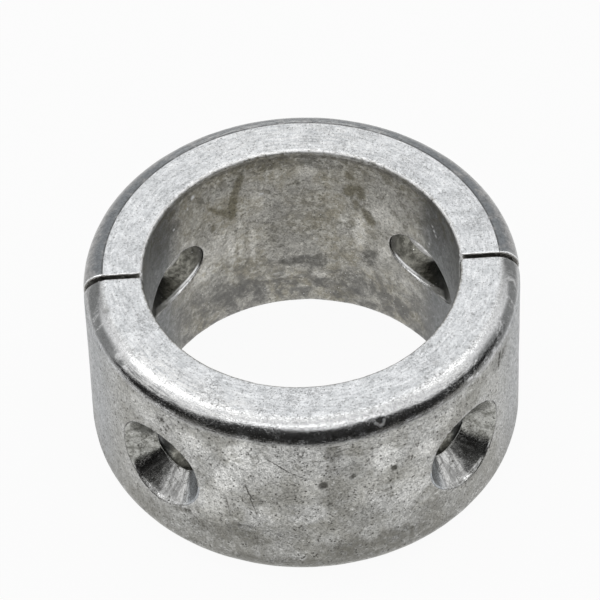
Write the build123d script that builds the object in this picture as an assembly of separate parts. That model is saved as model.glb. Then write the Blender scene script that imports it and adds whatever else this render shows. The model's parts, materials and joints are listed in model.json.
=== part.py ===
"""Split collar anode: two cast zinc half rings that close round a propeller shaft's housing.

Millimetres. The origin is on the ring's axis at its lower face, with +Z up the axis. The halves
part along the XZ plane: the front half lies towards -Y and the rear half towards +Y. Two
countersunk screws hold each half, and they point at the axis.
"""
from build123d import *

import math
import os

# The ring that the two halves make
bore_radius = 30.35
wall = 11.65
height = 43.9
top_edge_radius = 3.8
bottom_edge_radius = 6.2
bore_edge_radius = 0.8

# The parting between the halves, as they lie closed
parting_gap = 0.5
parting_edge_radius = 0.6

# The screw seats of a half, one each side of its middle and raised a little above half height
screw_angle = 45.0
seat_raise = 0.45
seat_radius = 9.6
seat_cone_angle = 82.0
seat_land = 5.85
screw_hole_radius = 5.2
hole_edge_radius = 0.4

# How far round the bore, from the half's middle, the slot that a screw hole leaves there reaches
slot_reach_angle = 74.0

# How far a cut runs on past the metal
overrun = 5.0

outer_radius = bore_radius + wall

# The largest shares of the wall that the round of one edge, and the land behind a seat, may take
edge_share = 0.6
land_share = 0.5

# Cylinders and cones stand on their own plane
STANDING = (Align.CENTER, Align.CENTER, Align.MIN)


def ring_section():
    """The ring's section, from the bore outwards, with a cast round at each corner."""
    section = Pos(bore_radius, 0) * Rectangle(wall, height, align=(Align.MIN, Align.MIN))
    rounds = (
        (outer_radius, height, top_edge_radius),
        (outer_radius, 0, bottom_edge_radius),
        (bore_radius, height, bore_edge_radius),
        (bore_radius, 0, bore_edge_radius),
    )
    for out, up, radius in rounds:
        corner = section.vertices().sort_by_distance((out, up, 0))[0]
        section = fillet(corner, min(radius, edge_share * wall))
    return section


def screw_seat(side):
    """Cutter for a seat of the front half: side is -1 on the left and +1 on the right.

    The countersink points at the ring's axis. Behind its foot the hole bends and runs on to the
    bore square to the parting, the way its core is drawn, so it opens in the bore as a long slot.
    """
    turn = math.radians(screw_angle)
    outward = Vector(side * math.sin(turn), -math.cos(turn), 0)
    middle = Vector(0, 0, height / 2 + seat_raise)

    land = min(seat_land, land_share * wall)
    cone_foot = bore_radius + land
    half_cone = math.radians(seat_cone_angle / 2)
    cone_depth = (seat_radius - screw_hole_radius) / math.tan(half_cone)
    cone_mouth = cone_foot + cone_depth
    outside = max(outer_radius, cone_mouth) + overrun
    slot_end = bore_radius * math.sin(math.radians(slot_reach_angle))
    bend = min((slot_end - screw_hole_radius) / math.sin(turn), cone_foot)

    def radial(distance):
        return Plane(origin=middle + outward * distance, z_dir=outward)

    def bored(radius, start):
        return radial(start) * Cylinder(radius, outside - start, align=STANDING)

    elbow = middle + outward * bend
    inward = Plane(origin=elbow, z_dir=(0, 1, 0))
    cutter = bored(seat_radius, cone_mouth)
    cutter += radial(cone_foot) * Cone(screw_hole_radius, seat_radius, cone_depth, align=STANDING)
    cutter += bored(screw_hole_radius, bend)
    cutter += Pos(elbow) * Sphere(screw_hole_radius)
    cutter += inward * Cylinder(screw_hole_radius, -elbow.Y, align=STANDING)
    return cutter


def breaks_into_bore(edge):
    """True for an edge where a screw hole meets the bore."""
    points = [edge @ share for share in (0.1, 0.4, 0.8)]
    on_bore = all(abs(math.hypot(p.X, p.Y) - bore_radius) < 0.001 for p in points)
    between_faces = all(bore_edge_radius < p.Z < height - bore_edge_radius for p in points)
    return on_bore and between_faces and edge.geom_type != GeomType.LINE


def front_half():
    """The half towards -Y, with its two seats and its rounded edges."""
    ring = revolve(Plane.XZ * ring_section(), Axis.Z)
    side = outer_radius + overrun
    front = Box(2 * side, side, height, align=(Align.CENTER, Align.MAX, Align.MIN))
    half = ring & Pos(0, -parting_gap / 2, 0) * front
    for seat_side in (-1, 1):
        half -= screw_seat(seat_side)
    parting_faces = half.faces().filter_by(Axis.Y).sort_by(Axis.Y)[-2:]
    half = fillet(parting_faces.edges(), parting_edge_radius)
    return fillet(half.edges().filter_by(breaks_into_bore), hole_edge_radius)


def main():
    front = front_half()
    rear = Rot(0, 0, 180) * front
    os.makedirs("parts", exist_ok=True)
    export_step(front, "parts/front_half.step")
    export_step(rear, "parts/rear_half.step")


main()
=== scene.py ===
"""Split collar anode of bare cast zinc, on a pale floor under soft studio light.

The frame gives the two half rings at their real size. Each one is shown by a fine mesh of the same
form, which adds what casting and handling leave: a slightly wavy skin, pits, nicks, scratches and
the thin flash along the parting.
"""

import functools
import json
import math
from types import SimpleNamespace

import bpy
import numpy as np
from mathutils import Matrix, Vector


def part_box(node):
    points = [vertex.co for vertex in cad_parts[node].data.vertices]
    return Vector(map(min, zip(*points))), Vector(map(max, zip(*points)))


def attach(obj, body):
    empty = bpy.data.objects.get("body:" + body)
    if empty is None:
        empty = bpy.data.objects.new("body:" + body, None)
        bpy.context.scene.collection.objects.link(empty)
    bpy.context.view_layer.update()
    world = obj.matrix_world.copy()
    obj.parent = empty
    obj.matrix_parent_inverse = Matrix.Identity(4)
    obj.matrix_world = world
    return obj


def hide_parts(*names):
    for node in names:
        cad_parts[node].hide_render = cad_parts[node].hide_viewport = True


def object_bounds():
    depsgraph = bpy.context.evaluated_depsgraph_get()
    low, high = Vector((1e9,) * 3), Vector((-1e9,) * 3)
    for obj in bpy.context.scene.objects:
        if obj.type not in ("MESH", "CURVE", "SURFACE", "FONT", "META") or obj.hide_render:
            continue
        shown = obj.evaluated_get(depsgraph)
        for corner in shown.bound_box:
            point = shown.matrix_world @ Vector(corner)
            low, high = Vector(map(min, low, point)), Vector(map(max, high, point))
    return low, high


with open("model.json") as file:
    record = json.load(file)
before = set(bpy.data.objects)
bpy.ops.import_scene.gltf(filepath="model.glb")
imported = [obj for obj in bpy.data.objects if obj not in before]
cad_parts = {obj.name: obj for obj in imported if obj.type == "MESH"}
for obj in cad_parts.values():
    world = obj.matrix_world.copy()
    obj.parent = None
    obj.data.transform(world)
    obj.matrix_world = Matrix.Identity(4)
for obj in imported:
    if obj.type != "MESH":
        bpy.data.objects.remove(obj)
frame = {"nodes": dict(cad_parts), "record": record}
cad_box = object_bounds()

MM = 0.001
mounts = {mount["name"]: mount for mount in frame["record"]["mounts"]}

# Sizes from the frame
front_low, front_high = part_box("front_half")
outer_radius = -front_low.y
height = front_high.z
gap = -2 * front_high.y
bore_radius = mounts["bore"]["dims"]["r_mm"] * MM
hole_radius = mounts["front_screws"]["dims"]["hole_r_mm"] * MM
hole_offset = mounts["front_screws"]["dims"]["spacing_x_mm"] * MM / 2
seat_level = mounts["front_screws"]["pos_m"][2]

# Edges and seats, as the castings have them. The round of a half's top edge has this radius, and
# meets the flat end face at a slight crease, because its arc would rise this far above the face.
front_round = (4.9 * MM, 0.04 * MM)
rear_round = (4.1 * MM, 0.003 * MM)
bottom_edge = 6.2 * MM
bore_edge = 0.8 * MM
parting_edge = 0.6 * MM
parting_bore_edge = 1.3 * MM
seat_radius = 9.6 * MM
seat_half_angle = math.radians(41)
seat_foot = bore_radius + 5.85 * MM
seat_rim = 0.28 * MM
screw_angle = math.radians(45)

# Fineness of the shown mesh
voxel = 0.42 * MM

# The skin's middle lies this far inside the CAD's, so that its relief stays in the CAD's box
skin_sink = 0.06 * MM
scattered_pit_count = 60
# Dings deeper than this many mm have a bright rim
bright_rim_depth = 0.15

# Finish of the metal
zinc_metallic = 0.92
zinc_roughness = 0.36
bump_depth = 0.095 * MM


# Distance to the casting, for points in the front half's frame

def meet_round(a, b, radius):
    """Intersection of two distance fields with a round of that radius where they cross."""
    inside = np.maximum(radius + a, 0) ** 2 + np.maximum(radius + b, 0) ** 2
    return np.minimum(np.maximum(a, b), -radius) + np.sqrt(inside)


def seat_distance(points, side):
    """Distance to the empty space of one screw seat; side is -1 on the left and +1 on the right."""
    outward = np.array([side * math.sin(screw_angle), -math.cos(screw_angle), 0.0])
    rise = points[:, 2] - seat_level
    along = points @ outward
    across = points[:, 0] * outward[1] - points[:, 1] * outward[0]
    from_axis = np.hypot(across, rise)
    bend = hole_offset / math.sin(screw_angle)

    cone_width = hole_radius + (along - seat_foot) * math.tan(seat_half_angle)
    cone = (from_axis - cone_width) * math.cos(seat_half_angle)
    seat = np.maximum(np.maximum(cone, from_axis - seat_radius), seat_foot - along)
    neck = np.maximum(from_axis - hole_radius, bend - along)
    elbow = outward * bend
    beside = points[:, 0] - elbow[0]
    behind = points[:, 1] - elbow[1]
    ball = np.sqrt(beside ** 2 + behind ** 2 + rise ** 2) - hole_radius
    hole = np.maximum(np.hypot(beside, rise) - hole_radius, -behind)
    return np.minimum.reduce([seat, neck, ball, hole])


def casting_distance(points, top_round):
    """Signed distance to the front half, negative inside the metal."""
    top_edge, crown = top_round
    radius = np.hypot(points[:, 0], points[:, 1])
    z = points[:, 2]
    outer, inner = radius - outer_radius, bore_radius - radius
    above, below = z - height, -z
    ahead = points[:, 1] + gap / 2
    body = np.maximum(meet_round(outer, above - crown, top_edge), meet_round(outer, below, bottom_edge))
    body = np.maximum(body, meet_round(inner, above, bore_edge))
    body = np.maximum(body, meet_round(inner, below, bore_edge))
    body = meet_round(np.maximum(body, meet_round(inner, ahead, parting_bore_edge)), ahead, parting_edge)
    for side in (-1, 1):
        body = meet_round(body, -seat_distance(points, side), seat_rim)
    return body


def slope(points, top_round, step=0.02 * MM):
    """Direction of steepest rise of the distance, as unit vectors."""
    rise = np.empty_like(points)
    for axis in range(3):
        shift = np.zeros(3)
        shift[axis] = step
        beyond, before = (casting_distance(points + way * shift, top_round) for way in (1, -1))
        rise[:, axis] = beyond - before
    return rise / np.maximum(np.linalg.norm(rise, axis=1, keepdims=True), 1e-12)


def bend_of_skin(points, top_round, step=0.5 * MM):
    """How sharply the skin turns, from -1 in a hollow corner to +1 on an edge."""
    total = -6 * casting_distance(points, top_round)
    for axis in range(3):
        shift = np.zeros(3)
        shift[axis] = step
        beyond, before = (casting_distance(points + way * shift, top_round) for way in (1, -1))
        total += beyond + before
    return np.clip(total / step, -1, 1)


# Noise

def value_noise(points, size, seed):
    """Smooth noise from -1 to 1 whose lumps are about that size."""
    cells = 32
    lattice = np.random.default_rng(seed).uniform(-1, 1, (cells, cells, cells))
    spot = points / size + 1000.0
    low = np.floor(spot).astype(int)
    part = spot - low
    part = part * part * (3 - 2 * part)
    total = np.zeros(len(points))
    for corner in np.ndindex(2, 2, 2):
        weight = np.ones(len(points))
        for axis in range(3):
            weight *= part[:, axis] if corner[axis] else 1 - part[:, axis]
        i, j, k = ((low[:, axis] + corner[axis]) % cells for axis in range(3))
        total += weight * lattice[i, j, k]
    return total


def smooth_step(value, start, end):
    """0 up to the start, 1 from the end on, smooth between."""
    share = np.clip((value - start) / (end - start), 0, 1)
    return share * share * (3 - 2 * share)


def fade(value, start, end):
    """1 up to the start, 0 from the end on, smooth between."""
    return 1 - smooth_step(value, start, end)


# Marks on the walls. Each place is degrees round from the middle, counted to the right as the
# camera sees it, and mm up. The outside's middle is the front and the bore's middle is the rear.

def wall_place(place, radius, sign):
    """A point in space for a mark's place; sign is -1 for the outside and +1 for the rear bore."""
    turn = math.radians(place[0])
    return np.array([radius * math.sin(turn), sign * radius * math.cos(turn), place[1] * MM])


def radii_from(points, centre, radius_mm):
    """Distance from a centre, counted in radii."""
    return np.linalg.norm(points - centre, axis=1) / (radius_mm * MM)


def along_path(points, path, radius, sign):
    """Distance from each point to a path of places, and the share of the path at its nearest."""
    nodes = [wall_place(place, radius, sign) for place in path]
    best, share = np.full(len(points), 1.0), np.zeros(len(points))
    for index in range(len(nodes) - 1):
        start, run = nodes[index], nodes[index + 1] - nodes[index]
        part = np.clip((points - start) @ run / (run @ run), 0, 1)
        distance = np.linalg.norm(points - (start + part[:, None] * run), axis=1)
        nearer = distance < best
        best = np.where(nearer, distance, best)
        share = np.where(nearer, (index + part) / (len(nodes) - 1), share)
    return best, share


def stroke(points, path, start_mm, end_mm, radius, sign, seed, soft=0.45, ragged=0.25):
    """Mask of a stain along a path, with that half width at its start and end."""
    distance, share = along_path(points, path, radius, sign)
    width = (start_mm + (end_mm - start_mm) * share) * MM
    noise = value_noise(points, 1.1 * MM, seed) + 0.6 * value_noise(points, 0.5 * MM, seed + 1)
    distance = distance + ragged * MM * noise
    return fade(distance, width - soft * MM, width + soft * MM)


def patch(points, place, wide_mm, high_mm, radius, sign, seed, ragged=0.35):
    """Mask of a broad soft patch."""
    centre = wall_place(place, radius, sign)
    beside = np.hypot(points[:, 0] - centre[0], points[:, 1] - centre[1]) / (wide_mm * MM)
    above = (points[:, 2] - centre[2]) / (high_mm * MM)
    spread = np.hypot(beside, above) + ragged * value_noise(points, 2.6 * MM, seed)
    spread += 0.6 * ragged * value_noise(points, 1.0 * MM, seed + 1)
    return fade(spread, 0.45, 1.15)


# Half width at the start, half width at the end, and the path of each olive stain in the bore
olive_stains = (
    (0.8, 1.2, ((-20.0, 39.2), (-23.0, 34.5), (-24.6, 29.4))),
    (1.0, 0.5, ((-25.5, 30.2), (-29.5, 32.0), (-33.5, 34.0))),
    (1.2, 1.1, ((20.8, 33.4), (22.0, 34.8))),
    (1.0, 0.9, ((25.0, 35.2), (25.8, 32.6))),
    (0.8, 0.7, ((23.6, 31.0), (24.0, 29.8))),
    (0.9, 1.1, ((27.4, 29.0), (29.4, 26.8))),
    (0.7, 0.7, ((-32.0, 28.4), (-32.3, 27.6))),
    (0.5, 0.6, ((20.5, 38.5), (22.0, 37.5))),
)
# Place, half width, half height and strength of the dark and the pale patches in the bore; the dark ones
# are partly stains and partly painted shade, low in the bore and at its ends
bore_murk_and_shade = (
    ((1, 12.3), 6.5, 1.7, 0.9), ((-60, 38), 6, 7, 0.9), ((62, 38), 5, 6, 0.7),
    ((-9, 41), 7, 2.0, 0.6), ((10, 40.6), 7, 2.0, 0.5), ((28.5, 16), 2.0, 2.4, 0.9),
    ((0, 24), 7, 11, 0.3), ((-30, 7), 8, 3.5, 0.7), ((20, 7), 5, 5, 0.5), ((-48, 20), 4, 4, 0.3),
    ((-18, 6), 3, 2, 0.6), ((9, 6), 3, 1.6, 0.5), ((-45, 9), 5, 5, 0.4), ((42, 4), 4, 2, 0.5),
)
bore_pale = (
    ((25, 22), 1.4, 6, 1.0), ((-25, 20), 1.1, 6, 0.8), ((-21, 21), 0.8, 6, 0.6),
    ((-16, 20), 0.8, 6, 0.5), ((-37, 17), 4.5, 2.4, 0.9), ((-44, 28), 3.5, 2.0, 0.7),
    ((35, 29), 4.5, 3.0, 0.8), ((35, 19), 2.4, 3.0, 0.8), ((-5, 8.5), 5, 1.0, 0.7),
    ((8, 8.0), 4, 0.9, 0.5), ((18.5, 25), 1.2, 1.0, 0.9), ((45, 13), 5, 2.0, 0.6),
    ((-30, 22), 4, 5, 0.4), ((15, 41), 3, 1.2, 0.6), ((5, 38), 2.4, 2.0, 0.6),
    ((-6, 39), 2.4, 1.6, 0.5), ((-13, 32), 2.0, 3, 0.4), ((52, 27), 4, 5, 0.4),
    ((31, 12), 4, 1.6, 0.5), ((-2, 3.5), 9, 0.9, 0.4),
)
# The same for the outside of the front half, where the dark ones are partly painted shade along the foot
wall_murk_and_shade = (
    ((6.5, 8.5), 5.0, 4.5, 1.0), ((20, 8.5), 9.0, 3.0, 0.8), ((-19, 13), 5.0, 3.2, 0.9),
    ((-27, 11), 4.0, 2.5, 0.5), ((0, 5), 34, 1.6, 0.9), ((5, 37), 2.2, 3.0, 0.8),
    ((8, 32), 3.5, 2.5, 0.5), ((5.5, 24), 3.5, 9.0, 0.4), ((-32, 11.5), 3.0, 2.0, 0.6),
    ((-16.5, 22.5), 2.0, 2.0, 0.6), ((-39, 13), 2.5, 1.6, 0.6), ((-8, 23), 4.0, 4.0, 0.3),
    ((33, 12), 6.0, 3.0, 0.4), ((45, 13), 3.0, 1.5, 0.5), ((60, 38), 4.0, 3.0, 0.7),
    ((-8, 14), 5.0, 3.0, 0.35), ((12, 17), 5.0, 4.0, 0.4), ((-50, 8), 7.0, 3.0, 0.3),
    ((40, 31.5), 1.2, 0.9, 0.7), ((-43, 36.5), 2.0, 1.6, 0.5),
)
wall_pale = (
    ((-20, 35), 2.6, 6.5, 1.0), ((-24, 27.5), 2.6, 5.0, 0.9), ((-33, 35), 3.5, 2.5, 0.8),
    ((18.5, 33), 3.0, 5.5, 0.9), ((30, 30.5), 3.2, 3.0, 0.8), ((-13, 33), 3.0, 4.0, 0.4),
    ((26, 22), 4.0, 5.0, 0.45), ((-28, 20), 3.0, 5.0, 0.5), ((14, 25), 3.0, 4.0, 0.3),
    ((-12, 20), 3.0, 3.0, 0.3), ((36, 36), 4.0, 2.5, 0.5), ((-48, 36), 5.0, 3.0, 0.3),
    ((-2, 28), 2.0, 4.0, 0.3),
)
# Half width in mm, darkness and path of each scratch on the front half's outside
scratches = (
    (0.10, 0.9, ((-12.3, 35.4), (-9.5, 33.8), (-6.8, 32.0))),
    (0.07, 0.6, ((-6.8, 32.0), (-4.2, 30.9), (-1.8, 30.2))),
    (0.09, 0.7, ((-36.5, 14.2), (-34.0, 13.2), (-32.2, 11.9), (-33.4, 11.4))),
    (0.12, 0.9, ((-18.6, 27.0), (-17.6, 24.5), (-16.6, 23.2))),
    (0.09, 0.7, ((-17.4, 23.6), (-15.9, 19.0))),
    (0.09, 0.5, ((-24.0, 22.0), (-23.0, 17.0))),
    (0.09, 0.7, ((4.0, 38.7), (8.5, 39.2))),
    (0.10, 0.7, ((5.0, 37.2), (8.3, 37.9))),
    (0.09, 0.6, ((3.2, 35.9), (6.8, 36.6))),
    (0.07, 0.5, ((3.0, 34.6), (5.0, 34.9))),
    (0.17, 1.0, ((60.6, 39.0), (59.8, 36.8), (59.4, 35.4))),
    (0.12, 1.0, ((62.4, 38.6), (61.4, 36.4))),
    (0.08, 0.7, ((66.0, 33.4), (65.8, 32.4))),
)
# Place, radius and depth in mm of the pits that stand out
pits = (
    ((1.8, 28.1), 1.05, 0.30), ((20.8, 28.9), 0.70, 0.35), ((9.5, 29.6), 0.6, 0.10),
    ((14.8, 36.4), 0.45, 0.2), ((-42.4, 37.2), 0.5, 0.28), ((-40.6, 36.1), 0.4, 0.28),
    ((-44.0, 36.9), 0.35, 0.25), ((-41.2, 34.8), 0.35, 0.2), ((-12.6, 36.0), 0.3, 0.2),
    ((2.8, 26.6), 0.3, 0.25), ((3.2, 24.9), 0.3, 0.2), ((3.4, 22.5), 0.5, 0.15),
    ((37.5, 30.5), 0.35, 0.25), ((-20.5, 14.8), 0.4, 0.2), ((26.0, 9.0), 0.35, 0.2),
    ((-36.4, 13.6), 0.5, 0.25), ((-35.2, 13.8), 0.5, 0.25), ((60.2, 38.6), 0.5, 0.3),
    ((60.0, 37.6), 0.5, 0.35), ((59.6, 36.6), 0.4, 0.25), ((-31.0, 11.2), 0.35, 0.15),
    ((-46.0, 31.0), 0.3, 0.2), ((33.5, 38.0), 0.35, 0.2), ((-28.0, 30.5), 0.3, 0.2),
)
# Degrees round, distance from the axis, height, radius, depth and dark centre of the top's dings
dings = (
    (17.5, 40.9, 42.1, 0.85, 0.16, 0.3), (-77.5, 38.4, 43.6, 1.0, 0.10, 0.6),
    (41.8, 35.65, 43.9, 0.9, 0.04, 0.45), (38.5, 34.2, 43.9, 0.5, 0.03, 0.4),
)
# White specks in the bore: place and radius
bore_specks = (
    ((-41.0, 40.2), 0.45), ((61.3, 35.6), 0.30), ((60.2, 36.4), 0.25), ((62.5, 34.6), 0.25),
    ((-44.0, 38.2), 0.25), ((58.0, 30.5), 0.25), ((-52.0, 36.0), 0.25), ((8.0, 18.5), 0.25),
    ((-12.0, 33.0), 0.25),
)


def strongest(masks, count):
    total = np.zeros(count)
    for mask in masks:
        total = np.maximum(total, mask)
    return total


def scattered_pits(points, seed, count):
    """Small gas pits all over the outside."""
    random = np.random.default_rng(seed)
    total = np.zeros(len(points))
    for _ in range(count):
        place = (random.uniform(-85, 85), random.uniform(3, 42))
        centre = wall_place(place, outer_radius, -1)
        radius = random.uniform(0.4, 0.7) * MM
        near = np.abs(points - centre).max(axis=1) < radius
        depth = random.uniform(0.05, 0.16) * MM
        if near.any():
            distance = np.linalg.norm(points[near] - centre, axis=1)
            total[near] += depth * fade(distance, 0.35 * radius, radius)
    return total


# The castings

def turned(points, back):
    """Points of the rear half in the front half's frame, or the other way round."""
    return points * np.array([-1.0, -1.0, 1.0]) if back else points


def remeshed(node, size):
    """The node's mesh rebuilt from even quads."""
    source = bpy.data.objects.new(node + "_source", frame["nodes"][node].data.copy())
    bpy.context.scene.collection.objects.link(source)
    modifier = source.modifiers.new("even", "REMESH")
    modifier.mode = "VOXEL"
    modifier.voxel_size = size
    bpy.context.view_layer.update()
    graph = bpy.context.evaluated_depsgraph_get()
    mesh = bpy.data.meshes.new_from_object(source.evaluated_get(graph))
    bpy.data.objects.remove(source)
    return mesh


def settled(mesh, points, top_round):
    """Points moved onto the casting's skin and spread evenly along it."""
    edges = np.empty(2 * len(mesh.edges), dtype=np.int32)
    mesh.edges.foreach_get("vertices", edges)
    edges = edges.reshape(-1, 2)
    neighbours = np.bincount(edges.ravel(), minlength=len(points))[:, None]
    for step in range(6):
        points = points - casting_distance(points, top_round)[:, None] * slope(points, top_round)
        if step in (1, 2, 3):
            total = np.zeros_like(points)
            np.add.at(total, edges[:, 0], points[edges[:, 1]])
            np.add.at(total, edges[:, 1], points[edges[:, 0]])
            pull = total / neighbours - points
            facing = slope(points, top_round)
            pull -= (pull * facing).sum(axis=1, keepdims=True) * facing
            points = points + 0.6 * pull
    return points


def crease_radius(top_round):
    """Distance from the axis at which a half's flat end face meets its top round."""
    top_edge, crown = top_round
    return outer_radius - top_edge * (1 - math.sqrt(2 * crown / top_edge))


def skin_parts(points, facing, back):
    """Masks from 0 to 1 of the parts of a half's skin, and two of the distances behind them."""
    top_round = rear_round if back else front_round
    round_start = crease_radius(top_round)
    radius, up = np.hypot(points[:, 0], points[:, 1]), points[:, 2]
    inward = -(facing[:, 0] * points[:, 0] + facing[:, 1] * points[:, 1]) / radius
    hollow = np.minimum(seat_distance(points, -1), seat_distance(points, 1))
    seat = fade(hollow, 0.05 * MM, 0.35 * MM)
    near_bore = smooth_step(bore_radius + 1.5 * MM - radius, 0, 0.8 * MM)
    bore = smooth_step(inward, 0.6, 0.95) * near_bore
    level_face = smooth_step(facing[:, 2], 0.86, 0.97) * (up > height / 2)
    top_end = round_start + (0.8 if back else -0.2) * MM
    top = fade(radius, top_end, round_start + 1.6 * MM) * level_face
    end_face = top
    if back:
        end_face = fade(radius, round_start - 1.6 * MM, round_start - 0.8 * MM) * level_face
    rounded = smooth_step(facing[:, 2], 0.10, 0.35) * (1 - end_face) * (1 - seat) * (1 - near_bore)
    rounded *= up > height - 1.2 * top_round[0]
    outside = (1 - top) * (1 - bore) * (1 - seat) * (1 - near_bore)
    to_parting = -points[:, 1] - gap / 2
    flash = smooth_step(to_parting, 0.2 * MM, 0.5 * MM) * fade(to_parting, 0.7 * MM, 1.1 * MM)
    return SimpleNamespace(top=top, bore=bore, seat=seat, rounded=rounded, outside=outside, flash=flash,
                           near_bore=near_bore, radius=radius, to_parting=to_parting)


def painted_shading(points, facing, world, degrees_round, part, back):
    """Masks of painted shade, painted dark reflections and painted highlights: where a half's skin is
    coloured darker, cooler or brighter than the rest of its part.
    """
    around = np.abs(degrees_round)
    round_start = crease_radius(rear_round if back else front_round)
    # Painted shade: the rear half's round is coloured darker, standing in for the dark surroundings it
    # mirrors
    round_shade = part.rounded * smooth_step(world[:, 1], -15 * MM, 4 * MM)
    # Painted shade: a dark band on the rear round beside its crease, standing in for a dark reflection
    brink = round_shade * fade(part.radius, round_start + 1.2 * MM, round_start + 3.2 * MM)
    if back:
        cool = round_band_shade = nook = np.zeros(len(points))
        # Painted highlight on the middle of the rear half's top face
        painted_sheen = 0.5 * fade(around, 18, 48) * part.top
    else:
        # The painted dark band on the front round's shoulder, standing in for the dark horizon it mirrors,
        # ends higher at the parting
        shoulder = facing[:, 2] - 0.016 * np.maximum(around - 75, 0)
        shoulder = smooth_step(shoulder, 0.28, 0.44) * fade(shoulder, 0.72, 0.86)
        brink = np.maximum(brink, shoulder * part.rounded * smooth_step(around, 30, 46))
        # Painted shade: the outside is coloured cooler and darker towards the sides, near the parting
        cool = fade(facing[:, 2], 0.2, 0.5) * smooth_step(around, 56, 74)
        # Painted shade: the lower part of the front round, towards the middle, is coloured dark like the
        # dark band it mirrors
        round_band_shade = part.rounded * fade(facing[:, 2], 0.45, 0.75) * fade(around, 40, 62)
        # Painted shadow in the corner where the front half's top meets its bore beside the parting
        nook = fade(part.to_parting, 0.8 * MM, np.where(world[:, 0] < 0, 3.8, 1.4) * MM)
        nook *= fade(part.radius - bore_radius, 0.15 * MM, 0.6 * MM) * (points[:, 2] > height / 2)
        # Painted highlight on the top face and round of the front half, on its left and its right
        left = fade(np.abs(degrees_round + 39), 10, 30)
        left *= smooth_step(part.radius, 32.5 * MM, 37.5 * MM)
        right = 0.7 * fade(np.abs(degrees_round - 40), 3, 14)
        right *= smooth_step(part.radius, 36 * MM, 39 * MM)
        painted_sheen = np.maximum(left, right) * (part.top + part.rounded)
    # Painted shade on the bore's flanks towards the parting
    flank = part.bore * smooth_step(around, 46, 62)
    # Painted shade in a line just under the bore's rim
    rim_line = fade(np.abs(points[:, 2] - (height - 1.5 * MM)), 0.2 * MM, 0.7 * MM) * part.bore
    return dict(round_shade=round_shade, brink=brink, cool=cool, round_band_shade=round_band_shade, nook=nook, painted_sheen=painted_sheen, flank=flank,
                rim_line=rim_line)


def wall_marks(world, back):
    """Masks of the olive stains, the dark patches (partly stains, partly painted shade) and the pale
    patches on a half's wall.
    """
    radius, sign = (bore_radius, 1) if back else (outer_radius, -1)
    stains = olive_stains if back else ()

    def patches(rows, seed):
        return strongest([share * patch(world, place, wide, high, radius, sign, seed + 2 * index)
                          for index, (place, wide, high, share) in enumerate(rows)], len(world))

    olive = strongest([stroke(world, path, start_mm, end_mm, radius, sign, 20 + index)
                       for index, (start_mm, end_mm, path) in enumerate(stains)], len(world))
    murk_and_shade = patches(bore_murk_and_shade if back else wall_murk_and_shade, 30)
    pale = patches(bore_pale if back else wall_pale, 60)
    return dict(olive=olive, murk_and_shade=murk_and_shade, pale=pale)


def relief_of_skin(points, world, turn, part, back, seed):
    """How far the skin is pushed outwards, and the masks of what is dark and bright for it."""
    waves = 0.035 * value_noise(points, 7 * MM, seed) + 0.022 * value_noise(points, 3 * MM, seed + 1)
    grain = 0.012 * value_noise(points, 1.1 * MM, seed + 2)
    push = (waves * (1 - 0.6 * part.top) * (1 - 0.5 * part.seat) + grain) * MM
    nicks = np.maximum(value_noise(points, 1.6 * MM, seed + 3) - 0.25, 0)
    push -= 0.14 * MM * nicks * np.maximum(turn, 0) * (1 - part.seat)
    ragged = np.maximum(value_noise(points, 1.3 * MM, seed + 6), -0.2)
    push += (0.12 if back else 0.03) * MM * part.flash * ragged
    push -= skin_sink
    push -= scattered_pits(points, seed + 4, scattered_pit_count) * part.outside
    dark, bright = np.zeros(len(points)), np.zeros(len(points))
    if back:
        for place, speck_radius in bore_specks:
            distance = radii_from(world, wall_place(place, bore_radius, 1), speck_radius)
            bright = np.maximum(bright, fade(distance, 0.7, 1.4))
        return push, dark, bright

    for turn_round, from_axis, up, ding_radius, depth, darkness in dings:
        distance = radii_from(points, wall_place((turn_round, up), from_axis * MM, -1), ding_radius)
        distance += 0.25 * value_noise(points, 0.8 * MM, seed + 7)
        push -= depth * MM * fade(distance, 0.3, 1.0)
        dark = np.maximum(dark, darkness * fade(distance, 0.5, 1.0))
        broken = smooth_step(value_noise(points, 0.9 * MM, seed + 8), -0.4, 0.3)
        rim = fade(np.abs(distance - 0.9), 0.1, 0.4) * broken
        bright = np.maximum(bright, 0.8 * rim * (depth > bright_rim_depth))
    for half_width, darkness, path in scratches:
        distance = along_path(points, path, outer_radius, -1)[0] / MM
        push -= 0.1 * darkness * MM * fade(distance, 0, 0.5) * part.outside
    for place, pit_radius, depth in pits:
        distance = radii_from(points, wall_place(place, outer_radius, -1), pit_radius)
        push -= depth * MM * fade(distance, 0.35, 1.1) * part.outside
        dark = np.maximum(dark, fade(distance, 0.7, 1.15) * part.outside)
    return push, dark, bright


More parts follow.
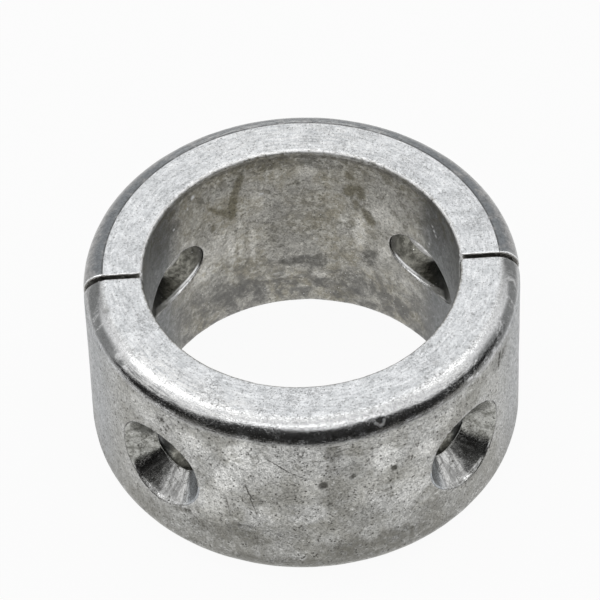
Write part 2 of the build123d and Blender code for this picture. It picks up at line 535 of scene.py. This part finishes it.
def casting(node, back, seed):
    """A half ring with its cast skin. back is True for the rear half."""
    mesh = remeshed(node, voxel)
    flat = np.empty(3 * len(mesh.vertices), dtype=np.float32)
    mesh.vertices.foreach_get("co", flat)
    top_round = rear_round if back else front_round
    points = settled(mesh, turned(flat.reshape(-1, 3).astype(float), back), top_round)
    facing = slope(points, top_round)
    turn = bend_of_skin(points, top_round)
    world = turned(points, back)
    ahead = world[:, 1] if back else -world[:, 1]
    degrees_round = np.degrees(np.arctan2(world[:, 0], ahead))

    part = skin_parts(points, facing, back)
    push, dark, bright = relief_of_skin(points, world, turn, part, back, seed)
    shaped = np.clip(turned(points + push[:, None] * facing, back), cad_box[0], cad_box[1])
    mesh.vertices.foreach_set("co", shaped.astype(np.float32).ravel())

    marked = part.bore if back else part.outside
    layers = {name: mask * marked for name, mask in wall_marks(world, back).items()}
    layers.update(painted_shading(points, facing, world, degrees_round, part, back))
    layers.update(top=part.top, bore=part.bore, rounded=part.rounded, dark=dark, bright=bright,
                  edge=np.maximum(turn, 0), corner=np.maximum(-turn, 0),
                  wall=part.outside * (0.0 if back else 1.0))
    for name, values in layers.items():
        layer = mesh.attributes.new(name, "FLOAT", "POINT")
        layer.data.foreach_set("value", values.astype(np.float32))

    # Place along the skin in mm: round the ring, then up the outside, over the top and down the bore
    round_mm = np.radians(degrees_round) * 0.5 * (outer_radius + bore_radius)
    up_outside = points[:, 2] + outer_radius - part.radius
    down_bore = 2 * height + outer_radius - bore_radius - points[:, 2]
    over = np.where(part.near_bore > 0.5, down_bore, up_outside)
    skin = np.column_stack([round_mm, over, np.full(len(points), 0.05 if back else 0.0)]) / MM
    layer = mesh.attributes.new("skin", "FLOAT_VECTOR", "POINT")
    layer.data.foreach_set("vector", skin.astype(np.float32).ravel())
    mesh.shade_smooth()
    mesh.update()
    piece = bpy.data.objects.new(node + "_casting", mesh)
    bpy.context.scene.collection.objects.link(piece)
    return piece


# Materials

class Graph:
    """Short names for adding nodes to a material."""

    def __init__(self, name):
        self.material = bpy.data.materials.new(name)
        self.material.use_nodes = True
        self.tree = self.material.node_tree
        self.tree.nodes.clear()

    def node(self, kind, values=None, **settings):
        made = self.tree.nodes.new(kind)
        for key, value in settings.items():
            setattr(made, key, value)
        for key, value in (values or {}).items():
            if isinstance(value, bpy.types.NodeSocket):
                self.tree.links.new(value, made.inputs[key])
            else:
                made.inputs[key].default_value = value
        return made

    def math(self, operation, a, b=0.0, clamp=False):
        made = self.node("ShaderNodeMath", {0: a, 1: b}, operation=operation, use_clamp=clamp)
        return made.outputs[0]

    def vector(self, operation, a, b=(0, 0, 0), output=0):
        return self.node("ShaderNodeVectorMath", {0: a, 1: b}, operation=operation).outputs[output]

    def plus(self, a, b):
        return self.math("ADD", a, b)

    def minus(self, a, b):
        return self.math("SUBTRACT", a, b)

    def rest(self, value):
        return self.minus(1.0, value)

    def times(self, *values):
        return functools.reduce(lambda a, b: self.math("MULTIPLY", a, b), values)

    def most(self, *values):
        return functools.reduce(lambda a, b: self.math("MAXIMUM", a, b), values)

    def noise(self, coords, scale, detail, roughness, distortion=0.0):
        values = dict(Vector=coords, Scale=scale, Detail=detail, Roughness=roughness, Distortion=distortion)
        return self.node("ShaderNodeTexNoise", values).outputs["Fac"]

    def cells(self, coords, scale, feature="F1"):
        return self.node("ShaderNodeTexVoronoi", {"Vector": coords, "Scale": scale}, feature=feature)

    def trace(self, noise, width, full_width):
        """1 on the line where the noise crosses its middle, 0 beside it."""
        return self.window(self.math("ABSOLUTE", self.minus(noise, 0.5)), width, full_width)

    def window(self, value, start, end):
        """0 at start, 1 at end, smooth between; start may be the larger."""
        values = {"Value": value, "From Min": start, "From Max": end}
        return self.node("ShaderNodeMapRange", values, interpolation_type="SMOOTHSTEP").outputs[0]

    def blend(self, share, a, b):
        """Colour a where share is 0, b where it is 1."""
        made = self.node("ShaderNodeMix", {0: share}, data_type="RGBA")
        for key, value in ((6, a), (7, b)):
            if isinstance(value, bpy.types.NodeSocket):
                self.tree.links.new(value, made.inputs[key])
            else:
                made.inputs[key].default_value = (*value, 1)
        return made.outputs[2]

    def shade(self, colour, factor):
        """Colour, or another vector, times a number."""
        return self.node("ShaderNodeVectorMath", {0: colour, "Scale": factor}, operation="SCALE").outputs[0]

    def attribute(self, name, output="Fac"):
        return self.node("ShaderNodeAttribute", attribute_name=name).outputs[output]

    def line(self, coords, start, end, half_width, noise):
        """1 on a thin ragged line between two places of the skin, 0 beside it."""
        run = Vector(end) - Vector(start)
        away = self.vector("SUBTRACT", coords, start)
        along = self.vector("DOT_PRODUCT", away, run / run.length_squared, "Value")
        along = self.math("ADD", along, 0.0, clamp=True)
        left = self.vector("SUBTRACT", away, self.shade(run, along))
        distance = self.vector("LENGTH", left, output="Value")
        distance = self.plus(distance, self.times(self.minus(noise, 0.5), 5 * half_width))
        return self.window(distance, 1.5 * half_width, 0.5 * half_width)

    def span(self, a, b):
        """Square root of a squared plus b squared."""
        both = self.node("ShaderNodeCombineXYZ", {0: a, 1: b}).outputs[0]
        return self.vector("LENGTH", both, output="Value")

    def band(self, value, middle, half_width, soft):
        """1 where the value is within half_width of the middle, 0 beyond the soft edge."""
        away = self.math("ABSOLUTE", self.minus(value, middle))
        return self.window(away, half_width + soft, half_width)

    def scaled(self, coords, scale, turn=0.0):
        values = {"Vector": coords, "Scale": scale, "Rotation": (0, 0, turn)}
        return self.node("ShaderNodeMapping", values, vector_type="TEXTURE").outputs[0]


def scratch_lines(g, skin, noise):
    """The scratches of the front half's outside, each as dark as it is."""
    per_degree = math.radians(1) * 0.5 * (outer_radius + bore_radius) / MM
    lines = 0.0
    for half_width, darkness, path in scratches:
        stops = [(turn_round * per_degree, up, 0) for turn_round, up in path]
        for start, end in zip(stops, stops[1:]):
            lines = g.most(lines, g.times(g.line(skin, start, end, half_width, noise), darkness))
    return lines


def cast_zinc():
    """Bare cast zinc: mottled oxide on the walls, brighter on the end face and the rounds, with painted
    shade, painted dark reflections and painted highlights.
    """
    g = Graph("cast_zinc")
    place = g.node("ShaderNodeTexCoord").outputs["Object"]
    mm = g.node("ShaderNodeMapping", {"Vector": place, "Scale": (1000, 1000, 1000)}).outputs[0]
    skin = g.attribute("skin", "Vector")
    skin_up = g.node("ShaderNodeSeparateXYZ", {0: skin}).outputs["Y"]
    axes = g.node("ShaderNodeSeparateXYZ", {0: mm}).outputs
    beside, ahead, level = g.math("ABSOLUTE", axes["X"]), g.math("ABSOLUTE", axes["Y"]), axes["Z"]
    off_parting = g.minus(ahead, 0.5 * gap / MM)
    rear_side = g.window(axes["Y"], -0.1, 0.1)
    top, bore = g.attribute("top"), g.attribute("bore")
    rounded, edge, corner = g.attribute("rounded"), g.attribute("edge"), g.attribute("corner")

    # The rear half's round starts at a crisp crease
    top_level, bore_wall = height / MM, bore_radius / MM
    from_axis = g.span(beside, ahead)
    crease = crease_radius(rear_round) / MM
    within = g.window(from_axis, crease + 0.1, crease - 0.1)
    top = g.times(top, g.rest(g.times(rear_side, g.rest(within))))
    rounded = g.times(rounded, g.rest(g.times(rear_side, within)))
    # A painted shade line just beyond the rear half's crease, and a painted highlight line along the rear
    # bore's rim
    crease_line = g.times(g.band(from_axis, crease + 0.14, 0.08, 0.12), rear_side,
                          g.window(level, top_level - 2.0, top_level - 1.0))
    bore_line = g.times(g.band(from_axis, bore_wall + 0.30, 0.14, 0.14), rear_side,
                        g.window(level, top_level - 1.4, top_level - 0.9))

    # The screw seats, the same in all four places: distances in mm from the seat's axis and its hole
    along = g.times(g.plus(beside, ahead), math.sin(screw_angle))
    across = g.times(g.minus(beside, ahead), math.sin(screw_angle))
    rise = g.minus(level, seat_level / MM)
    from_seat = g.span(across, rise)
    off_mouth = g.minus(from_seat, seat_radius / MM)
    from_slot = g.minus(beside, hole_offset / MM)
    off_slot = g.minus(g.span(from_slot, rise), hole_radius / MM)
    off_hole = g.minus(from_seat, hole_radius / MM)
    foot = seat_foot / MM
    in_bore = g.window(from_axis, bore_wall + 1.2, bore_wall + 0.8)
    hole = g.most(g.window(off_slot, 0.32, 0.18), g.times(g.window(off_hole, 0.32, 0.18), g.rest(in_bore)))
    hole = g.times(hole, g.window(along, foot + 0.15, foot - 0.05))
    cup = g.times(g.window(off_mouth, 0.20, 0.10), g.window(along, foot - 0.05, foot + 0.15))
    seat = g.most(hole, cup)
    walls = g.rest(g.most(top, bore, seat))
    # A painted highlight on the lower lip of each slot, and a painted shadow along its upper edge
    lip = g.times(g.band(off_slot, 0.14, 0.12, 0.10), g.window(rise, -2.4, -3.6), in_bore)
    brow = g.times(g.band(off_slot, 0.12, 0.14, 0.12), g.window(rise, -2.0, 0.5), in_bore)

    # Noise fields, from coarse to fine, and the cells of the fine cracks
    blotch = g.noise(mm, 0.10, 5, 0.6, 0.3)
    mottle = g.noise(mm, 0.34, 6, 0.66, 0.5)
    cloud = g.noise(mm, 0.75, 5, 0.62, 0.3)
    speckle = g.noise(mm, 1.8, 4, 0.7)
    dust = g.noise(mm, 4.2, 3, 0.6)
    streak = g.noise(g.scaled(skin, (0.8, 3.4, 1.0), math.radians(38)), 1.0, 5, 0.65, 0.4)
    brushed = g.noise(g.scaled(skin, (3.0, 0.5, 1.0)), 1.0, 4, 0.65, 0.2)
    bend = g.node("ShaderNodeTexNoise", {"Vector": mm, "Scale": 0.7, "Detail": 3.0}).outputs["Color"]
    bent = {0: bend, 1: (1.8, 1.8, 1.8), 2: mm}
    warped = g.node("ShaderNodeVectorMath", bent, operation="MULTIPLY_ADD").outputs[0]
    lumps = g.cells(warped, 0.55).outputs["Distance"]
    seams = g.cells(warped, 0.55, "DISTANCE_TO_EDGE").outputs["Distance"]

    # Ground colours
    wall = g.blend(g.window(blotch, 0.38, 0.60), (0.33, 0.325, 0.30), (0.52, 0.52, 0.505))
    wall = g.blend(g.times(g.window(streak, 0.50, 0.68), 0.25), wall, (0.66, 0.66, 0.64))
    lumpy = g.times(g.window(lumps, 0.30, 0.12), g.window(mottle, 0.42, 0.60), 0.7)
    wall = g.blend(lumpy, wall, (0.68, 0.68, 0.66))
    wall = g.blend(g.times(g.window(mottle, 0.48, 0.34), 0.65), wall, (0.24, 0.235, 0.208))
    face = g.blend(g.window(mottle, 0.36, 0.64), (0.62, 0.636, 0.65), (0.78, 0.795, 0.81))
    face = g.blend(g.times(g.window(brushed, 0.50, 0.66), 0.65), face, (0.92, 0.93, 0.94))
    face = g.blend(g.times(g.window(brushed, 0.47, 0.35), 0.5), face, (0.46, 0.475, 0.49))
    # The bore's colour: its own olive-brown tone, kept darker as painted shade for the shadowed inside of
    # the ring
    inside = g.blend(g.window(blotch, 0.38, 0.60), (0.28, 0.262, 0.212), (0.39, 0.38, 0.35))
    inside = g.blend(g.times(g.window(cloud, 0.47, 0.62), 0.7), inside, (0.50, 0.49, 0.45))
    inside = g.blend(g.times(g.window(mottle, 0.48, 0.36), 0.7), inside, (0.15, 0.142, 0.115))
    # Painted shade: a darker, bluish bore towards its flanks
    flank_shade = g.blend(g.window(cloud, 0.40, 0.62), (0.12, 0.128, 0.134), (0.205, 0.215, 0.223))
    inside = g.blend(g.times(g.attribute("flank"), 0.9), inside, flank_shade)

    # The seats, coloured by the angle round their axis as painted shade and painted reflection: darker
    # olive grey above, then a dark band, pale with rays below, and bluish towards the half's middle
    round_seat = g.math("ARCTAN2", rise, across)
    ray_place = {0: g.times(round_seat, 6.0), 1: g.times(from_seat, 0.3), 2: rear_side}
    rays = g.noise(g.node("ShaderNodeCombineXYZ", ray_place).outputs[0], 1.0, 4, 0.65, 0.3)
    seat_dim = g.blend(g.window(rays, 0.40, 0.60), (0.13, 0.13, 0.125), (0.33, 0.33, 0.32))
    seat_low = g.blend(g.window(rays, 0.40, 0.60), (0.32, 0.32, 0.315), (0.66, 0.66, 0.65))
    seat_low = g.blend(g.window(round_seat, math.radians(-62), math.radians(-96)), seat_dim, seat_low)
    bluish = g.window(round_seat, math.radians(-116), math.radians(-142))
    seat_low = g.blend(g.times(bluish, 0.85), seat_low, (0.33, 0.355, 0.38))
    seat_high = g.blend(g.window(cloud, 0.38, 0.58), (0.22, 0.22, 0.20), (0.44, 0.44, 0.415))
    seat_colour_and_shade = g.blend(g.window(round_seat, math.radians(-43), math.radians(-37)), seat_low, seat_high)
    seat_cracks = g.times(g.window(seams, 0.035, 0.005), g.window(mottle, 0.42, 0.52))
    seat_colour_and_shade = g.blend(seat_cracks, seat_colour_and_shade, (0.07, 0.068, 0.06))
    # Painted shade deeper in the rear half's seats
    seat_depth_shade = g.times(rear_side, g.window(along, foot + 2.2, foot + 0.8), 0.8)
    seat_colour_and_shade = g.blend(seat_depth_shade, seat_colour_and_shade, (0.12, 0.117, 0.10))
    # Painted shade in the holes, and a painted shadow at the ends of the slots
    hole_shade = g.blend(g.window(cloud, 0.40, 0.62), (0.11, 0.108, 0.092), (0.29, 0.285, 0.25))
    ends = g.most(g.window(from_slot, -2.2, -4.6), g.window(from_slot, 1.6, 4.2))
    slot_end_shadow = g.blend(g.window(from_slot, -1, 1), (0.05, 0.048, 0.04), (0.06, 0.066, 0.07))
    hole_shade = g.blend(g.times(ends, 0.75), hole_shade, slot_end_shadow)

    # The parts put together, with the darker, cooler and brighter places of painted shade, painted dark
    # reflections and painted highlights
    # Painted shade: the darker colour of the rear half's round
    round_shade_colour = g.blend(g.window(cloud, 0.38, 0.60), (0.20, 0.20, 0.20), (0.32, 0.316, 0.312))
    colour = g.blend(rounded, wall, g.blend(g.attribute("round_shade"), (0.60, 0.605, 0.61), round_shade_colour))
    colour = g.blend(top, colour, face)
    # Painted shade: cooler, darker walls towards the sides
    cool_side_shade = g.blend(g.window(streak, 0.38, 0.62), (0.26, 0.272, 0.285), (0.41, 0.422, 0.435))
    colour = g.blend(g.times(g.attribute("cool"), walls, 0.8), colour, cool_side_shade)
    # Painted shade: the dark bands on the rounds
    brink = g.times(g.attribute("brink"), rounded, g.window(mottle, 0.34, 0.50),
                    g.window(speckle, 0.22, 0.44), 0.92)
    colour = g.blend(brink, colour, g.blend(rear_side, (0.12, 0.124, 0.124), (0.15, 0.163, 0.175)))
    # Painted highlight on the top faces and rounds
    painted_sheen = g.times(g.attribute("painted_sheen"), g.window(brushed, 0.38, 0.58), 0.75)
    colour = g.blend(painted_sheen, colour, (0.85, 0.85, 0.84))
    # Painted shade: the dark lower part of the front round
    round_band_shade = g.times(g.attribute("round_band_shade"), g.window(mottle, 0.38, 0.54), 0.85)
    colour = g.blend(round_band_shade, colour, (0.17, 0.165, 0.15))
    colour = g.blend(bore, colour, inside)
    colour = g.blend(seat, colour, g.blend(hole, seat_colour_and_shade, hole_shade))

    # The marks that the castings carry, and dark patches that are partly painted shade
    pale, murk_and_shade = g.attribute("pale"), g.attribute("murk_and_shade")
    colour = g.shade(colour, g.plus(1.0, g.minus(g.times(pale, 0.36), g.times(murk_and_shade, 0.40))))
    colour = g.blend(g.times(pale, g.window(cloud, 0.34, 0.54), 0.75), colour,
                     g.blend(bore, (0.80, 0.80, 0.78), (0.64, 0.63, 0.595)))
    colour = g.blend(g.times(murk_and_shade, g.window(cloud, 0.64, 0.40), 0.8), colour,
                     g.blend(bore, (0.16, 0.155, 0.13), (0.12, 0.117, 0.105)))
    upper_bore = g.window(skin_up, 2 * top_level - 24.0, 2 * top_level - 30.0)
    olive_spots = g.times(bore, upper_bore, g.window(mottle, 0.50, 0.58))
    olive = g.most(g.attribute("olive"), g.times(olive_spots, 0.7))
    olive = g.times(olive, g.window(cloud, 0.26, 0.46))
    colour = g.blend(g.times(olive, 0.75), colour, (0.15, 0.135, 0.088))

    # Fine grain, calmer on the smooth parts
    grain = g.plus(g.times(g.minus(speckle, 0.5), 1.6), g.times(g.minus(dust, 0.5), 1.3))
    calm = g.most(g.times(g.most(rounded, top), 0.75), g.times(seat, 0.6), g.times(bore, 0.3))
    grain = g.plus(1.0, g.times(grain, g.minus(1.3, calm)))
    colour = g.shade(colour, grain)

    # Pinholes, veins, flecks, fine cracks, hair lines, pits and scratches
    pores = g.cells(mm, 0.95)
    rare = g.window(g.node("ShaderNodeSeparateColor", {0: pores.outputs["Color"]}).outputs[0], 0.62, 0.70)
    pinhole = g.times(g.window(pores.outputs["Distance"], 0.22, 0.10), rare)
    pepper = g.cells(mm, 1.7)
    pepper_kind = g.node("ShaderNodeSeparateColor", {0: pepper.outputs["Color"]}).outputs
    dots = g.times(g.window(pepper.outputs["Distance"], 0.46, 0.26), g.window(pepper_kind[1], 0.74, 0.78),
                   g.window(cloud, 0.45, 0.58))
    pinhole = g.times(g.most(pinhole, dots), g.rest(g.times(g.most(top, rounded), 0.5)))
    sparks = g.times(g.window(pepper.outputs["Distance"], 0.22, 0.10), g.window(pepper_kind[2], 0.93, 0.95),
                     g.most(bore, seat))
    vein = g.trace(g.noise(mm, 0.8, 5, 0.62, 0.9), 0.014, 0.003)
    vein = g.times(vein, g.window(blotch, 0.46, 0.58))
    flecks = g.window(g.noise(mm, 2.6, 2, 0.5), 0.635, 0.70)
    crackle = g.times(g.window(seams, 0.07, 0.01), g.window(cloud, 0.48, 0.62), walls)
    marks = g.most(pinhole, g.times(vein, 0.55), g.times(flecks, 0.8), g.times(crackle, 0.5))
    marks = g.times(marks, g.rest(g.times(g.most(bore, seat, rounded), 0.5)))
    hair = g.noise(g.scaled(skin, (2.2, 0.45, 1.0), math.radians(17)), 1.0, 5, 0.7, 1.2)
    hair = g.times(g.trace(hair, 0.012, 0.002), g.window(cloud, 0.46, 0.60), top)
    lines = g.times(scratch_lines(g, skin, dust), g.attribute("wall"))
    marks = g.most(marks, g.times(hair, 0.6), g.times(g.attribute("dark"), 0.85), lines)
    colour = g.blend(g.times(marks, 0.85), colour, (0.08, 0.076, 0.064))

    # Painted shade: darker towards the foot of the walls, in hollow corners and in a line just under the
    # bore's rim
    low = g.times(g.window(level, 20.0, 1.0), g.window(cloud, 0.68, 0.40), walls)
    colour = g.blend(g.times(low, 0.8), colour, (0.17, 0.165, 0.145))
    low = g.times(g.window(level, 24.0, 4.0), g.window(mottle, 0.62, 0.40), bore)
    colour = g.blend(g.times(low, 0.7), colour, (0.13, 0.129, 0.125))
    colour = g.blend(g.times(corner, 0.5), colour, (0.10, 0.097, 0.09))
    colour = g.blend(g.times(g.attribute("rim_line"), 0.5), colour, (0.09, 0.087, 0.08))

    # Bright colour: bare metal on worn edges and on the flash, white specks, and painted highlights on the
    # slots' lower lips, round the seats' mouths and along the rear bore's rim
    brightened = g.times(edge, g.window(speckle, 0.40, 0.56), g.rest(seat), 0.4)
    uneven = g.times(g.minus(speckle, 0.5), 0.5)
    flash = g.window(g.math("ABSOLUTE", g.minus(off_parting, g.plus(0.46, uneven))), 0.20, 0.06)
    flash = g.times(flash, g.plus(0.15, g.times(rear_side, 0.85)), g.window(cloud, 0.36, 0.50), 0.9)
    # Painted highlights inside the lower edge of each seat's mouth and along the rear bore's rim
    glint = g.times(g.band(off_mouth, -0.04, 0.05, 0.08), g.window(rise, -4.5, -7.0),
                    g.window(cloud, 0.46, 0.56), cup, 0.3)
    bore_glint = g.times(bore_line, g.window(cloud, 0.36, 0.50), 0.75)
    bright = g.attribute("bright")
    brightened = g.most(brightened, flash, g.times(sparks, 0.8), bright, g.times(lip, 0.9), glint, bore_glint)
    colour = g.blend(brightened, colour, (0.90, 0.905, 0.91))

    # Thin painted shadows, and the painted dark of the parting
    mouth_line = g.times(g.band(off_mouth, 0.26, 0.07, 0.10), g.window(along, 37.0, 38.0),
                         g.window(across, -7.5, 3.0), g.window(mottle, 0.38, 0.50))
    crease_line = g.times(crease_line, g.window(mottle, 0.36, 0.50), 0.6)
    shadow = g.most(brow, mouth_line, crease_line, g.attribute("nook"))
    colour = g.blend(g.times(shadow, 0.85), colour, (0.05, 0.049, 0.045))
    # Painted shade along the parting: dark on the front half, mid grey on the rear half, near black at the
    # very edge
    strip = g.blend(rear_side, (0.10, 0.098, 0.09), (0.27, 0.262, 0.245))
    colour = g.blend(g.window(g.plus(off_parting, uneven), 0.38, 0.26), colour,
                     g.blend(g.window(off_parting, 0.20, 0.08), strip, (0.02, 0.02, 0.02)))

    rough = g.plus(zinc_roughness, g.times(g.minus(mottle, 0.5), 0.4))
    smooth = g.most(rounded, g.times(seat, g.rest(g.times(hole, 0.8))))
    rough = g.minus(rough, g.times(smooth, 0.20))
    rough = g.plus(rough, g.times(marks, 0.3))
    rough = g.plus(rough, g.times(bright, 0.5))
    rough = g.plus(rough, g.times(olive, 0.1))

    relief = g.plus(g.plus(g.times(speckle, 0.8), g.times(dust, 0.25)), g.plus(cloud, mottle))
    relief = g.minus(relief, g.times(marks, 0.8))
    relief = g.times(relief, g.rest(g.most(g.times(rounded, 0.62), g.times(seat, 0.75))))
    bump = g.node("ShaderNodeBump", {"Strength": 1.0, "Distance": bump_depth, "Height": relief}).outputs[0]

    shader = g.node("ShaderNodeBsdfPrincipled", {
        "Base Color": colour, "Metallic": zinc_metallic, "Roughness": rough, "Normal": bump})
    out = g.node("ShaderNodeOutputMaterial")
    g.tree.links.new(shader.outputs[0], out.inputs[0])
    return g.material


zinc = cast_zinc()
front = casting("front_half", False, 11)
rear = casting("rear_half", True, 47)
for piece, node in ((front, "front_half"), (rear, "rear_half")):
    piece.data.materials.clear()
    piece.data.materials.append(zinc)
    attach(piece, "root")
    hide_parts(node)


# Camera: the photograph's, worked out from the ring's outlines in a frame of 600 pixels

picture_size = 600
camera_distance = 22.03 * outer_radius
camera_rise = 0.84516
camera_pan = -0.0005
camera_tilt = 0.00877
camera_roll = -0.03278
ring_turn = 0.03558
pixels_per_radius = 215.51
sensor = 36.0


def add_camera():
    up = Vector((0, math.sin(camera_rise), math.cos(camera_rise)))
    ahead = Vector((0, math.cos(camera_rise), -math.sin(camera_rise)))
    place = Vector((0, 0, height / 2)) - ahead * camera_distance
    panned = ahead * math.cos(camera_pan) + Vector((1, 0, 0)) * math.sin(camera_pan)
    right = panned.cross(up)
    ahead = panned * math.cos(camera_tilt) + up * math.sin(camera_tilt)
    up = right.cross(ahead)
    rolled = right * math.cos(camera_roll) + up * math.sin(camera_roll)
    up = rolled.cross(ahead)
    axes = Matrix((rolled, up, -ahead)).transposed().to_4x4()
    axes.translation = place
    data = bpy.data.cameras.new("camera")
    data.sensor_width = sensor
    data.lens = pixels_per_radius * camera_distance / outer_radius * sensor / picture_size
    data.clip_start = 0.01
    camera = bpy.data.objects.new("camera", data)
    camera.matrix_world = Matrix.Rotation(-ring_turn, 4, "Z") @ axes
    bpy.context.scene.collection.objects.link(camera)
    bpy.context.scene.camera = camera


add_camera()


# Stage: floor, flags that the metal mirrors, and lights

def seen_rays(graph):
    """1 for rays that show the background: from the camera, or mirrored or passed on."""
    path = graph.node("ShaderNodeLightPath").outputs
    total = graph.math("ADD", path["Is Camera Ray"], path["Is Glossy Ray"])
    return graph.math("ADD", total, path["Is Transmission Ray"], clamp=True)


def add_floor():
    bpy.ops.mesh.primitive_circle_add(vertices=96, radius=4.0, fill_type="NGON")
    floor = bpy.context.object
    floor.name = "floor"
    g = Graph("floor")
    lit = g.node("ShaderNodeBsdfDiffuse", {"Color": (0.92, 0.92, 0.92, 1)})
    glow = g.node("ShaderNodeEmission", {"Color": (1, 1, 1, 1), "Strength": 1.0})
    share = g.math("MULTIPLY", seen_rays(g), 0.94)
    mixed = g.node("ShaderNodeMixShader", {0: share, 1: lit.outputs[0], 2: glow.outputs[0]})
    out = g.node("ShaderNodeOutputMaterial")
    g.tree.links.new(mixed.outputs[0], out.inputs[0])
    floor.data.materials.append(g.material)


def add_flag(name, radius, profile, shade):
    """A curved card that only mirrors see. Each line of its profile has degrees round from the
    front, and the heights of its lower and upper edges in mm."""
    steps = 72
    turns = [line[0] for line in profile]
    corners, faces = [], []
    for step in range(steps + 1):
        degrees = turns[0] + (turns[-1] - turns[0]) * step / steps
        turn = math.radians(degrees)
        for column in (1, 2):
            z = float(np.interp(degrees, turns, [line[column] for line in profile])) * MM
            corners.append((radius * math.sin(turn), -radius * math.cos(turn), z))
        if step:
            last = 2 * step
            faces.append((last - 2, last - 1, last + 1, last))
    mesh = bpy.data.meshes.new(name)
    mesh.from_pydata(corners, [], faces)
    card = bpy.data.objects.new(name, mesh)
    bpy.context.scene.collection.objects.link(card)
    g = Graph(name)
    glow = g.node("ShaderNodeEmission", {"Color": (*shade, 1), "Strength": 1.0})
    out = g.node("ShaderNodeOutputMaterial")
    g.tree.links.new(glow.outputs[0], out.inputs[0])
    mesh.materials.append(g.material)
    card.visible_camera = card.visible_diffuse = card.visible_shadow = False


def add_light(name, place, wide, long, power):
    """A strip light over the ring, with its length along Y."""
    data = bpy.data.lights.new(name, "AREA")
    data.shape = "RECTANGLE"
    data.size = wide
    data.size_y = long
    data.energy = power
    lamp = bpy.data.objects.new(name, data)
    lamp.location = place
    lamp.rotation_euler = (Vector((0, 0, height / 2)) - Vector(place)).to_track_quat("-Z", "Y").to_euler()
    bpy.context.scene.collection.objects.link(lamp)


def add_world():
    world = bpy.data.worlds.new("studio")
    bpy.context.scene.world = world
    world.use_nodes = True
    tree = world.node_tree
    tree.nodes.clear()
    path = tree.nodes.new("ShaderNodeLightPath")
    seen = tree.nodes.new("ShaderNodeMath")
    seen.operation = "MAXIMUM"
    also = tree.nodes.new("ShaderNodeMath")
    also.operation = "MAXIMUM"
    tree.links.new(path.outputs["Is Camera Ray"], seen.inputs[0])
    tree.links.new(path.outputs["Is Glossy Ray"], seen.inputs[1])
    tree.links.new(seen.outputs[0], also.inputs[0])
    tree.links.new(path.outputs["Is Transmission Ray"], also.inputs[1])
    fill = tree.nodes.new("ShaderNodeBackground")
    fill.inputs["Strength"].default_value = 0.5
    white = tree.nodes.new("ShaderNodeBackground")
    white.inputs["Color"].default_value = (1, 1, 1, 1)
    mix = tree.nodes.new("ShaderNodeMixShader")
    out = tree.nodes.new("ShaderNodeOutputWorld")
    tree.links.new(also.outputs[0], mix.inputs[0])
    tree.links.new(fill.outputs[0], mix.inputs[1])
    tree.links.new(white.outputs[0], mix.inputs[2])
    tree.links.new(mix.outputs[0], out.inputs[0])


black, grey = (0.008, 0.008, 0.008), (0.12, 0.12, 0.12)
flag_radius, card_radius = 0.125, 0.052
card_edges = (
    (-72, 38, 40.5), (-64, 37, 42.5), (-56, 37, 45), (-46, 38, 46), (-36, 38.5, 49.5), (-27, 38.5, 54.5),
    (-16, 38, 58), (-5, 36, 53), (8, 36, 53), (19, 38, 57), (28, 38.5, 55), (38, 38.5, 50), (50, 39.5, 48),
    (62, 40.5, 46), (76, 40.5, 43),
)

add_floor()
add_flag("front_flag", flag_radius, ((-28, 20, 100), (28, 20, 100)), black)
add_flag("front_left_flag", flag_radius, ((-62, 22, 80), (-28, 20, 100)), grey)
add_flag("front_right_flag", flag_radius, ((28, 20, 100), (62, 22, 80)), grey)
add_flag("front_card", card_radius, card_edges, black)
add_light("left_strip", (-0.26, 0.06, 0.72), 0.14, 0.72, 0.58)
add_light("right_strip", (0.31, 0.12, 0.70), 0.11, 0.40, 0.30)
add_light("front_strip", (0.0, -0.36, 0.68), 0.74, 0.045, 0.30)
add_world()
bpy.context.scene.view_settings.view_transform = "Standard"
